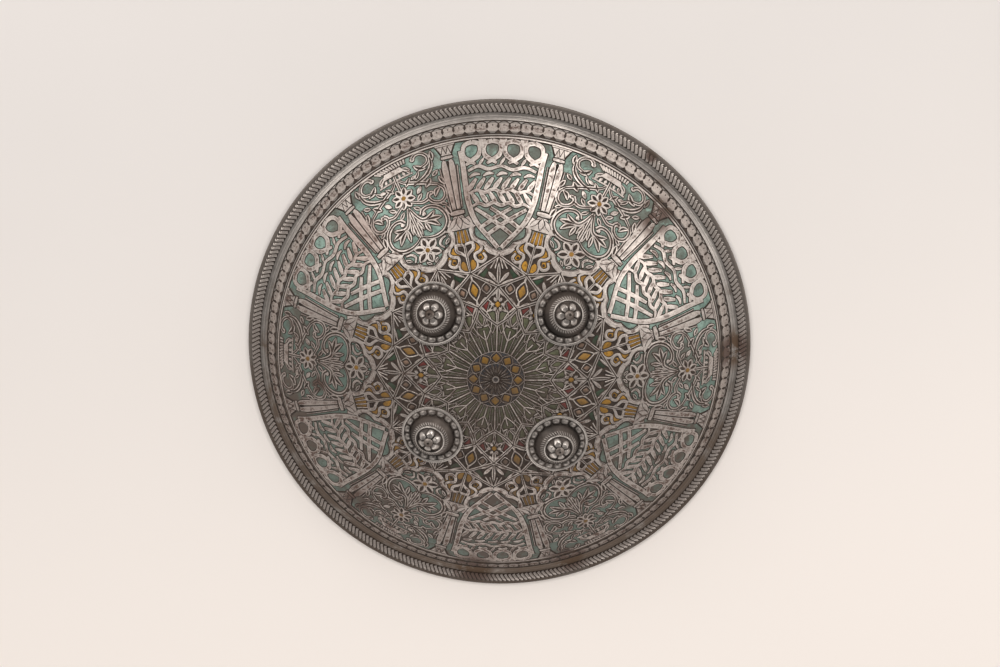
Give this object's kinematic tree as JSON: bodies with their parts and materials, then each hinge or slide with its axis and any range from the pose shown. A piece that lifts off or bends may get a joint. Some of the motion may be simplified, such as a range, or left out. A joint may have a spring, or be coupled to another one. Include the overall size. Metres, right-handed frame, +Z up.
{
  "type": "round convex buckler shield",
  "caption": "Round convex steel shield with pierced and engraved ornament, coloured grounds, raised bosses and plain eyes inside for grips.",
  "frame": {"origin": "centre of the circle the rim rests on, on the floor plane", "axes": "+Z up through the middle of the domed face; +Y towards the middle of one arched panel, the one at the top of the picture"},
  "size_m": [0.47, 0.47, 0.0992],
  "materials": {
    "worked_steel": "worn grey steel ornament over turquoise, amber, red and green grounds, dark in the cuts",
    "boss_iron": "dark worn iron, bright on the raised rings",
    "bolt_iron": "dark forged iron",
    "dark_cut": "dark brown cuts and sunk ground round the steel ornament",
    "turquoise_ground": "matt, uneven turquoise enamel",
    "amber_ground": "amber enamel",
    "red_ground": "dark red enamel",
    "green_ground": "dark green enamel",
    "olive_ground": "dull olive grey enamel",
    "blue_ground": "dark blue grey enamel"
  },
  "bodies": {
    "root": {"shield_plate": "worked_steel", "boss_1": "boss_iron", "boss_2": "boss_iron", "boss_3": "boss_iron", "boss_4": "boss_iron", "bolt_1": "bolt_iron", "bolt_2": "bolt_iron", "bolt_3": "bolt_iron", "bolt_4": "bolt_iron"}
  },
  "joints": []
}
